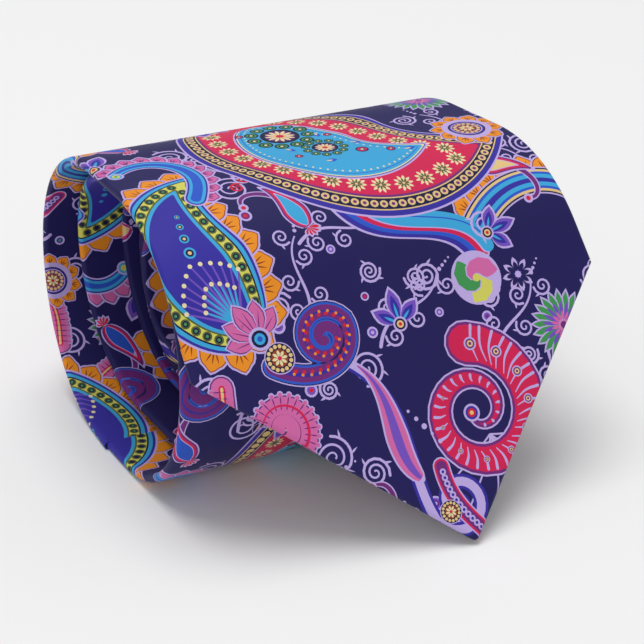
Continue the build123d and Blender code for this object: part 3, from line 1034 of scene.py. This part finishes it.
def acrossLines(high, low, skewed, step):
    # the cross lines between two cuts, and the lines of the folds
    count = max(1, round((high - low) / step))
    places = [low + (high - low) * k / count for k in range(1, count)]
    places += [low + cutting["edgeLine"], high - cutting["edgeLine"]]     # keeps the shading even at a cut
    lines = [crossLine(place, skewed) for place in places]
    ends = crossLine(low, skewed), crossLine(high, skewed)
    for side in (-1, 1):
        for share in np.linspace(0, 1, 9):
            borders = []
            for end in ends:
                inner, outer = (end[-3], end[-2]) if side > 0 else (end[2], end[1])
                borders.append(tuple(a + (b - a) * share for a, b in zip(inner, outer)))
            (ax, ay), (bx, by) = borders
            lines.append([(ax, ay), (bx, by)])
    return lines


def sleeve(cloth, high, low, step):
    region = crossLine(low, cloth.skewed) + crossLine(high, cloth.skewed)[::-1]
    if low < tie["openTop"] < high and cloth.skewed:
        lowEnd, highEnd = region[:7], region[7:]
        flap = 2 * (float(halfWidth(tie["openTop"])) - foldRadius) + foldLength - tie["slit"]
        region = lowEnd + [(flap, tie["openTop"])] + highEnd + [(-flap, tie["openTop"])]
    cloth.patch(region, foldedPlace, acrossLines(high, low, cloth.skewed, step))


def bendAcross(obj, hinge):
    # the hinge here lies between the body on the core's side and the next one out; the cloth either side of
    # it is found but not used, and the object's place is baked into its mesh
    reach = cutting["bendReach"]
    start = lay(0, (hingePlaces[hinge] + reach) / math.cos(roll["skew"]), foldRadius, True)
    end = lay(0, (hingePlaces[hinge] - reach) / math.cos(roll["skew"]), foldRadius, True)
    start[0] = end[0] = 0
    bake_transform(obj)


def outerTurn():
    for k in range(len(hingePlaces)):
        cloth = Cloth(True)
        sleeve(cloth, cuts[k], cuts[k + 1], cutting["lineStep"])
        obj = cloth.make(f"outer_turn_cloth_{k + 1:02d}")
        finish(obj, finishes["print"])
        thicken(obj, tie["cloth"], finishes["reverse"])
        bendAcross(obj, k)
        if k + 1 < len(hingePlaces):
            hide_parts(f"blade_cloth_{k + 1:02d}")
        declare(cuts[k] - cuts[k + 1], (cuts[k] + cuts[k + 1]) / 2)
    print("outer turn cut")


def declare(length, middle, layers=4):
    width = layers * float(halfWidth(middle))
    length * mm


# the pointed end: front, turned-in hems and flaps
def pointedEnd():
    top = cuts[-1]
    cloth = Cloth(True)
    knee = tie["blade"] - foldRadius
    lift = foldRadius * math.sqrt(2)
    tip = (0.0, lift)
    openFoot = (0.0, tie["openFoot"])
    cut = crossLine(top, True)
    front = [tip, (knee, knee + lift), cut[4], cut[3], cut[2], (-knee, knee + lift)]
    rows = [[(-60, y), (60, y)] for y in np.arange(4.0, 52.0, 4.0)]
    cloth.patch(front, lambda c, s: (c, s, 0 * c), rows)
    gap = openHalf(top)
    for side, end in ((1, cut[4]), (-1, cut[2])):
        shoulder = (side * knee, knee + lift)
        openKnee = (side * tie["openShoulder"], tie["openAt"])
        slitTop = (side * gap, top - side * gap * math.sin(roll["skew"]))
        edgePatch(cloth, shoulder, end, side, [slitTop, openKnee])
        edgePatch(cloth, tip, shoulder, side, [openKnee, openFoot])
        cornerPatch(cloth, shoulder, (1 - side) * math.pi / 2, (1 - side) * math.pi / 2 - side * math.pi / 4)
    cornerPatch(cloth, tip, -math.pi / 4, -math.pi * 0.75)
    obj = cloth.make("blade_point")
    finish(obj, finishes["print"])
    thicken(obj, tie["cloth"], finishes["reverse"])
    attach(obj, "blade_end")
    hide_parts("blade_point_cloth")
    hems = 2 * (tie["blade"] * (top - tie["openAt"]) + 0.5 * math.sqrt(2) * tie["blade"] * pointed["hem"] * 2)
    area = tie["blade"] ** 2 + 2 * tie["blade"] * (top - tie["blade"]) + hems
    wide, long = pointed["cutWide"], top + pointed["cutExtra"]
    wide * mm
    long * mm
    area * mm * mm
    print("point cut")


pointed = {"hem": 11.0, "cutWide": 130.0, "cutExtra": 12.0, "rollSteps": 8}


def edgePatch(cloth, a, b, side, inner):
    # the fold along the edge from a to b, and the cloth turned in behind it as far as the inner points
    a, b = np.array(a), np.array(b)
    way = (b - a) / np.linalg.norm(b - a)
    out = np.array((way[1], -way[0])) * side
    behind = []
    for p in inner:
        inside = -(np.array(p) - a) @ out
        behind.append(tuple(np.array(p) + out * (2 * inside + foldLength)))
    region = [tuple(a), tuple(b), tuple(b + out * foldLength)] + behind + [tuple(a + out * foldLength)]

    def place(c, s):
        along = (c - a[0]) * way[0] + (s - a[1]) * way[1]
        past = (c - a[0]) * out[0] + (s - a[1]) * out[1]
        turn = np.clip(past / foldRadius, 0, math.pi)
        reach = foldRadius * np.sin(turn) - np.maximum(past - foldLength, 0)
        depth = foldRadius * (1 - np.cos(turn))
        return a[0] + way[0] * along + out[0] * reach, a[1] + way[1] * along + out[1] * reach, depth

    shares = np.linspace(0, 1, pointed["rollSteps"] + 1)[1:]
    cloth.patch(region, place, [[tuple(p + out * foldLength * share) for p in (a, b)] for share in shares])


def cornerPatch(cloth, corner, start, stop):
    # the rounded cloth at a corner, between the folds of two edges
    corner = np.array(corner)
    angles = np.linspace(start, stop, 6)
    rimPoints = [tuple(corner + foldLength * np.array((math.cos(a), math.sin(a)))) for a in angles]

    def place(c, s):
        u, v = c - corner[0], s - corner[1]
        far = np.hypot(u, v)
        turn = np.clip(far / foldRadius, 0, math.pi)
        reach = np.where(far > 1e-6, foldRadius * np.sin(turn) / np.maximum(far, 1e-6), 0)
        return corner[0] + u * reach, corner[1] + v * reach, foldRadius * (1 - np.cos(turn))

    shares = np.linspace(0, 1, pointed["rollSteps"] + 1)[1:-1]
    rings = [[tuple(corner + share * (np.array(p) - corner)) for p in rimPoints] for share in shares]
    cloth.patch([tuple(corner)] + rimPoints, place, rings)


# the wound turns inside
fine, coarse = (1.2, 0.24, 0.55), (2.6, 0.55, 1.0)
core = {
    "step": 6.0,
    # name, where it starts, its print's detail, the node it takes over
    "pieces": (
        ("core_blade_first", 0.0, fine, "blade_panel"), ("core_blade_second", 282.0, fine, None),
        ("core_blade_third", 356.0, fine, None), ("core_blade_inner", 430.0, coarse, None),
        ("core_neck_outer", 640.0, coarse, "neck_panel"), ("core_neck_inner", 825.0, coarse, None),
        ("core_tail", 1010.0, coarse, "tail_panel"), ("core_tail_point", 1175.0, coarse, None),
    ),
}


def innerTurns():
    starts = [cuts[0]] + [row[1] for row in core["pieces"][1:]] + [wholeLength]
    for k, (name, _, detail, node) in enumerate(core["pieces"]):
        cloth = Cloth(False, detail)
        if k < len(core["pieces"]) - 1:
            sleeve(cloth, starts[k + 1], starts[k], core["step"])
        else:
            tailPoint(cloth, starts[k])
        obj = cloth.make(name)
        finish(obj, finishes["print"])
        thicken(obj, tie["cloth"], finishes["reverse"])
        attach(obj, "roll_core")
        if node:
            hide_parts(node)
        declare(starts[k + 1] - starts[k], (starts[k] + starts[k + 1]) / 2)
    print("inner turns cut")


def tailPoint(cloth, start):
    # the narrow end: straight as far as its shoulders, then its point
    knee = wholeLength - tie["tail"]
    sleeve(cloth, knee, start, core["step"])
    half = float(halfWidth(knee)) - foldRadius
    region = [(-half, knee), (half, knee), (0.0, wholeLength - foldRadius)]
    cloth.patch(region, lambda c, s: (c, s, 0 * c), [])


# plain sheets: interlinings, tipping, label and tag
def plainSheet(name, region, depth, thickness, material, step, skewed=True, ripple=0.0):
    # a sheet laid at one depth, cut from the region, with the outline's own corners
    cloth = Cloth(skewed, (1e6, 0.0, 0.0))
    xs, ys = [p[0] for p in region], [p[1] for p in region]
    lines = [[(x, min(ys) - 1), (x, max(ys) + 1)] for x in np.arange(min(xs) + step, max(xs), step)]
    lines += [[(min(xs) - 1, y), (max(xs) + 1, y)] for y in np.arange(min(ys) + step, max(ys), step)]

    def place(c, s):
        wave = np.sin(c * 0.9 + np.sin(s * 0.35) * 2) * np.sin(s * 0.6 + c * 0.15)
        return c, s, depth + ripple * wave

    cloth.patch(region, place, lines)
    obj = cloth.make(name)
    finish(obj, material)
    thicken(obj, thickness)
    return obj


wool = {"depth": 0.55, "thick": 1.0, "side": 2.4, "step": 4.0}


def woolBox(low, high, skewed):
    # the interlining's outline between two cuts, a little inside the folds
    turn = roll["skew"] if skewed else 0.0
    left, right = [], []
    for s in [low] + [k for k in (tie["neckAt"] - 1, tie["neckAt"] + 1) if low < k < high] + [high]:
        half = float(halfWidth(s)) - wool["side"]
        left.append((-half, (s + half * math.sin(turn)) / math.cos(turn)))
        right.append((half, (s - half * math.sin(turn)) / math.cos(turn)))
    return right + left[::-1]


def interlinings():
    for k in range(len(hingePlaces)):
        region = woolBox(cuts[k + 1], cuts[k] - 0.3, True)
        obj = plainSheet(f"outer_interlining_{k + 1:02d}", region, wool["depth"], wool["thick"],
                         finishes["wool"], wool["step"])
        bendAcross(obj, k)
        if k + 1 < len(hingePlaces):
            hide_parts(f"interlining_{k + 1:02d}")
        declare(cuts[k] - cuts[k + 1], (cuts[k] + cuts[k + 1]) / 2, 2)
    top = cuts[-1]
    knee = tie["blade"] - wool["side"]
    low = wool["side"] * math.sqrt(2)
    right, _, _, left = woolBox(top, top, True)
    region = [(0, low), (knee, knee + low), right, left, (-knee, knee + low)]
    obj = plainSheet("point_interlining", region, wool["depth"], wool["thick"], finishes["wool"],
                     wool["step"])
    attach(obj, "blade_end")
    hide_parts("blade_point_interlining")
    wide = 2 * knee
    top * mm
    (top - knee / 2) * wide * mm * mm
    region = woolBox(cuts[0] + 0.3, wholeLength - tie["tail"], False)
    obj = plainSheet("core_wool", region, wool["depth"], wool["thick"], finishes["wool"], wool["step"], False)
    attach(obj, "roll_core")
    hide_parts("core_interlining")
    declare(wholeLength - tie["tail"] - cuts[0], (cuts[0] + wholeLength) / 2, 2)
    print("interlinings cut")


# sewing thread: short capsules laid along the cloth
def stitchRun(name, stitches, radius, depth, skewed):
    # each stitch is (x, s) to (x, s) on the cloth; its middle lifts off the cloth a little
    bm = bmesh.new()
    sides, rings = 6, 5
    for (ax, ay), (bx, by) in stitches:
        shares = np.linspace(0, 1, rings)
        xs, ys = ax + (bx - ax) * shares, ay + (by - ay) * shares
        lift = depth + 0.6 * radius * np.sin(math.pi * shares)
        middle = lay(xs, ys, lift, skewed)
        above = lay(xs, ys, lift + 1.0, skewed)
        loops = []
        for k in range(rings):
            ahead = middle[min(k + 1, rings - 1)] - middle[max(k - 1, 0)]
            ahead = Vector(ahead).normalized()
            up = Vector(above[k] - middle[k]).normalized()
            side = ahead.cross(up)
            size = radius * mm * (0.55 if k in (0, rings - 1) else 1.0)
            angles = [2 * math.pi * j / sides for j in range(sides)]
            loops.append([bm.verts.new(Vector(middle[k]) + (side * math.cos(a) + up * math.sin(a)) * size)
                          for a in angles])
        for low, high in zip(loops, loops[1:]):
            for j in range(sides):
                bm.faces.new((low[j], low[(j + 1) % sides], high[(j + 1) % sides], high[j]))
        bm.faces.new(loops[0][::-1])
        bm.faces.new(loops[-1])
    bmesh.ops.recalc_face_normals(bm, faces=bm.faces)
    for face in bm.faces:
        face.smooth = True
    mesh = bpy.data.meshes.new(name)
    bm.to_mesh(mesh)
    bm.free()
    return addObject(name, mesh)


thread = {"pitch": 5.0, "long": 2.4, "lean": 0.9, "radius": 0.17, "corePitch": 9.0}


def slipStitches(low, high, pitch):
    count = max(1, int((high - low) / pitch))
    spots = [low + (k + 0.5) * (high - low) / count for k in range(count)]
    lean, half = thread["lean"], thread["long"] / 2
    return [((-lean, s - half), (lean, s + half)) for s in spots]


# the bar tack: a close zigzag across the foot of the slit, held by three threads across it
tack = {
    "at": 60.0, "long": 3.0, "wide": 6.0, "rows": 22, "lean": 0.12, "apart": 0.9,
    "radius": 0.18, "lift": 0.14,
}


def sewing():
    back = tie["thick"]
    for k in range(len(hingePlaces)):
        low = max(cuts[k + 1], tie["openTop"] + 4.0)
        run = slipStitches(low, cuts[k], thread["pitch"])
        obj = stitchRun(f"outer_stitches_{k + 1:02d}", run, thread["radius"], back, True)
        finish(obj, finishes["tack"])
        bendAcross(obj, k)
        if k + 1 < len(hingePlaces):
            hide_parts(f"slip_stitch_{k + 1:02d}")
    run = slipStitches(cuts[0], wholeLength - tie["tail"] - 3, thread["corePitch"])
    obj = stitchRun("core_stitches", run, thread["radius"], back, False)
    finish(obj, finishes["tack"])
    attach(obj, "roll_core")
    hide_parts("core_slip_stitch")
    run = []
    for k in range(tack["rows"]):
        x = -tack["wide"] / 2 + tack["wide"] * k / (tack["rows"] - 1)
        run.append(((x - tack["lean"], tack["at"] - tack["long"] / 2),
                    (x + tack["lean"], tack["at"] + tack["long"] / 2)))
    for k in (-1, 0, 1):
        y = tack["at"] + k * tack["apart"]
        run.append(((-tack["wide"] / 2, y), (tack["wide"] / 2, y)))
    obj = stitchRun("bar_tack", run, tack["radius"], back + tack["lift"], True)
    finish(obj, finishes["tack"])
    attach(obj, "blade_end")
    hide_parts("blade_bar_tack")
    print("stitches sewn")


# label, care tag and keeper loop on the back of the outer turn
def slab(name, middle, wide, long, lift, thick, material, arch=0.0, step=1.0):
    # a small cloth rectangle laid across the back, with rounded edges; arch lifts its middle like a loop
    nx, ny = max(4, int(wide / step)), max(4, int(long / step))
    sheets = []
    for far in (0.0, thick):
        rows = []
        for j in range(ny + 1):
            v = -1 + 2 * j / ny
            for i in range(nx + 1):
                u = -1 + 2 * i / nx
                edge = min(1.0, (1 - max(abs(u), abs(v))) * 8)
                rise = lift + arch * (1 - abs(u) ** 10)
                skin = far * (0.75 + 0.25 * edge) if far else 0.0
                ripple = 0.03 * math.sin(u * wide * 0.5) * math.sin(v * 5)
                rows.append((u * wide / 2, middle + v * long / 2, tie["thick"] + rise + skin + ripple))
        x, s, depth = np.array(rows).T
        sheets.append(lay(x, s, depth, True))
    points = np.concatenate(sheets)
    row = nx + 1
    count = row * (ny + 1)
    faces = []
    for j in range(ny):
        for i in range(nx):
            a = j * row + i
            faces.append((a, a + row, a + row + 1, a + 1))
            faces.append((a + count, a + count + 1, a + count + row + 1, a + count + row))
    border = [i for i in range(nx)] + [nx + j * row for j in range(ny)]
    border += [ny * row + i for i in range(nx, 0, -1)] + [j * row for j in range(ny, 0, -1)]
    for a, b in zip(border, border[1:] + border[:1]):
        faces.append((a, b, b + count, a + count))
    mesh = bpy.data.meshes.new(name)
    mesh.from_pydata(points.tolist(), [], faces)
    weave = mesh.uv_layers.new(name="weave")
    for polygon in mesh.polygons:
        for corner in polygon.loop_indices:
            v = mesh.loops[corner].vertex_index % count
            weave.data[corner].uv = ((v % row) / nx * wide * mm, (v // row) / ny * long * mm)
    bm = bmesh.new()
    bm.from_mesh(mesh)
    bmesh.ops.recalc_face_normals(bm, faces=bm.faces)
    for face in bm.faces:
        face.smooth = True
    for edge in bm.edges:
        edge.smooth = len(edge.link_faces) == 2 and edge.calc_face_angle(0) < 0.9
    bm.to_mesh(mesh)
    bm.free()
    obj = addObject(name, mesh)
    return finish(obj, material)


fittings = {
    "label": {"wide": 42.0, "long": 12.0, "thick": 0.25, "body": 6},
    "tag": {"wide": 20.0, "long": 11.0, "thick": 0.25, "body": 3},
    "keeper": {"wide": 46.0, "long": 11.0, "thick": 0.35, "arch": 0.25, "body": 2},
}
# how the fittings are sewn down: gap under them, half a stitch, its radius, and the side rows' places
fitted = {"gap": 0.06, "half": 0.45, "radius": 0.13, "labelRow": 19.8, "keeperRow": 22.2, "keeperLift": 0.1}


def slabMiddle(body):
    return (hingePlaces[body - 1] + hingePlaces[body]) / 2


def ringStitches(middle, wide, long, pitch):
    # a running stitch round a rectangle
    run = []
    for y in (middle - long / 2, middle + long / 2):
        for k in range(int(wide / pitch)):
            x = -wide / 2 + (k + 0.5) * pitch
            run.append(((x - pitch * 0.3, y), (x + pitch * 0.3, y)))
    for x in (-wide / 2, wide / 2):
        for k in range(int(long / pitch)):
            y = middle - long / 2 + (k + 0.5) * pitch
            run.append(((x, y - pitch * 0.3), (x, y + pitch * 0.3)))
    return run


def centred(run, middle):
    # stitches and labels follow the tie's own centre line, square to it
    return [((a, b + middle), (c, d + middle)) for (a, b), (c, d) in run]


def labels():
    gap, half = fitted["gap"], fitted["half"]
    pieces = (
        ("label", "woven_label", "label", "label"), ("tag", "care_tag", "tag", "label"),
        ("keeper", "keeper_loop", "print", "printed_satin"),
    )
    for key, node, material, slot in pieces:
        size = fittings[key]
        middle = slabMiddle(size["body"])
        obj = slab(key + "_cloth", middle, size["wide"], size["long"], gap, size["thick"], finishes[material],
                   size.get("arch", 0.0))
        if key == "keeper":
            ink = obj.data.attributes.new("ink", "FLOAT_COLOR", "FACE")
            ground = list(rgba(*inkColours["ground"])) * len(obj.data.polygons)
            ink.data.foreach_set("color", ground)
        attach(obj, f"turn_{size['body']:02d}")
        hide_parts(node)
        size["wide"] * mm
        max(size["long"], 10.0) * mm
    label, keeper = fittings["label"], fittings["keeper"]
    runs = (
        ("label_sewing", "label_stitches", label, [
            ((x, y - half), (x, y + half)) for x in (-fitted["labelRow"], fitted["labelRow"])
            for y in np.arange(-5, 5.1, 1.25)
        ], gap + label["thick"]),
        ("keeper_sewing", "keeper_stitches", keeper, [
            ((x, y - half), (x, y + half)) for x in (-fitted["keeperRow"], fitted["keeperRow"])
            for y in np.arange(-4.5, 4.6, 1.5)
        ], gap + keeper["thick"] + fitted["keeperLift"]),
    )
    for name, node, size, run, lift in runs:
        placedRun = centred(run, slabMiddle(size["body"]))
        obj = stitchRun(name, placedRun, fitted["radius"], tie["thick"] + lift, True)
        finish(obj, finishes["tack"])
        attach(obj, f"turn_{size['body']:02d}")
        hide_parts(node)
    # a woven border of pale thread on the label, and a sewn line round the care tag
    extra = ((label, 3.0, 1.1, 0.09), (fittings["tag"], 2.2, 1.2, 0.07))
    for number, (size, inset, pitch, radius) in enumerate(extra):
        run = ringStitches(0.0, size["wide"] - 2 * inset, size["long"] - inset, pitch)
        placedRun = centred(run, slabMiddle(size["body"]))
        obj = stitchRun(("label_border", "tag_border")[number], placedRun, radius,
                        tie["thick"] + gap + size["thick"] + 0.02, True)
        finish(obj, finishes["labelEdge"] if number == 0 else finishes["thread"])
        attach(obj, f"turn_{size['body']:02d}")
    print("label, tag and keeper sewn")


# tipping: the plain lining that shows behind each point
tipping = {"depth": 1.45, "thick": 0.25, "margin": 3.0, "step": 1.6, "ripple": 0.07}


def tippings():
    grow = tipping["margin"]
    region = [(0, tie["openFoot"] - grow), (tie["openShoulder"] + grow, tie["openAt"]),
              (0, tie["openTop"] + grow), (-tie["openShoulder"] - grow, tie["openAt"])]
    obj = plainSheet("point_tipping", region, tipping["depth"] + tipping["thick"] + 0.2, tipping["thick"],
                     finishes["lining"], tipping["step"], True, tipping["ripple"])
    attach(obj, "blade_end")
    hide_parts("blade_tipping")
    knee = wholeLength - tie["tail"]
    half = float(halfWidth(knee)) - 1.6
    region = [(-half, knee - 2), (half, knee - 2), (half, knee), (0.8, wholeLength - 2.2),
              (-0.8, wholeLength - 2.2), (-half, knee)]
    obj = plainSheet("tail_lining", region, tipping["depth"], tipping["thick"], finishes["lining"],
                     tipping["step"], False)
    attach(obj, "roll_core")
    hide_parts("tail_tipping")
    print("tippings cut")


# light, floor and camera
view = {
    "target": (-0.02096, -0.07209, 0.06077), "azimuth": -26.29, "elevation": 25.83, "roll": 0.15,
    "distance": 0.3566, "fov": 19.97,
}


studio = {
    "world": 0.45, "floor": 0.86, "span": 12.0,
    # name, place, size, watts
    "lamps": (("overhead", (-0.1, 0.25, 2.1), 1.5, 27.0), ("front", (-0.9, -1.9, 1.1), 1.2, 9.0)),
}


def setStage():
    world = bpy.data.worlds.new("studio")
    scene.world = world
    world.use_nodes = True
    world.node_tree.nodes["Background"].inputs["Color"].default_value = (1, 1, 1, 1)
    world.node_tree.nodes["Background"].inputs["Strength"].default_value = studio["world"]
    bm = bmesh.new()
    bmesh.ops.create_grid(bm, x_segments=1, y_segments=1, size=studio["span"] / 2)
    mesh = bpy.data.meshes.new("floor")
    bm.to_mesh(mesh)
    bm.free()
    floor = addObject("floor", mesh)
    tree = Tree("paperFloor")
    pale = (studio["floor"],) * 3 + (1.0,)
    tree.set(Base_Color=pale, Roughness=0.95, Specular_IOR_Level=0.05)
    finish(floor, tree.material)
    for name, spot, size, power in studio["lamps"]:
        light = bpy.data.lights.new(name, "AREA")
        light.shape, light.size, light.energy = "DISK", size, power
        lamp = bpy.data.objects.new(name, light)
        lamp.location = spot
        lamp.rotation_euler = (Vector((0, 0, 0.03)) - Vector(spot)).to_track_quat("-Z", "Y").to_euler()
        scene.collection.objects.link(lamp)
    scene.view_settings.view_transform = "Standard"


def setCamera():
    azimuth, elevation = math.radians(view["azimuth"]), math.radians(view["elevation"])
    level = math.cos(elevation)
    back = Vector((math.sin(azimuth) * level, -math.cos(azimuth) * level, math.sin(elevation)))
    camera = bpy.data.cameras.new("camera")
    camera.angle = math.radians(view["fov"])
    camera.clip_start = 0.01
    eye = bpy.data.objects.new("camera", camera)
    eye.location = Vector(view["target"]) + back * view["distance"]
    turn = back.to_track_quat("Z", "Y") @ Matrix.Rotation(math.radians(-view["roll"]), 4, "Z").to_quaternion()
    eye.rotation_euler = turn.to_euler()
    scene.collection.objects.link(eye)
    scene.camera = eye


drawPrint()
tileShapes()
makeFinishes()
outerTurn()
pointedEnd()
innerTurns()
interlinings()
sewing()
labels()
tippings()
setStage()
setCamera()
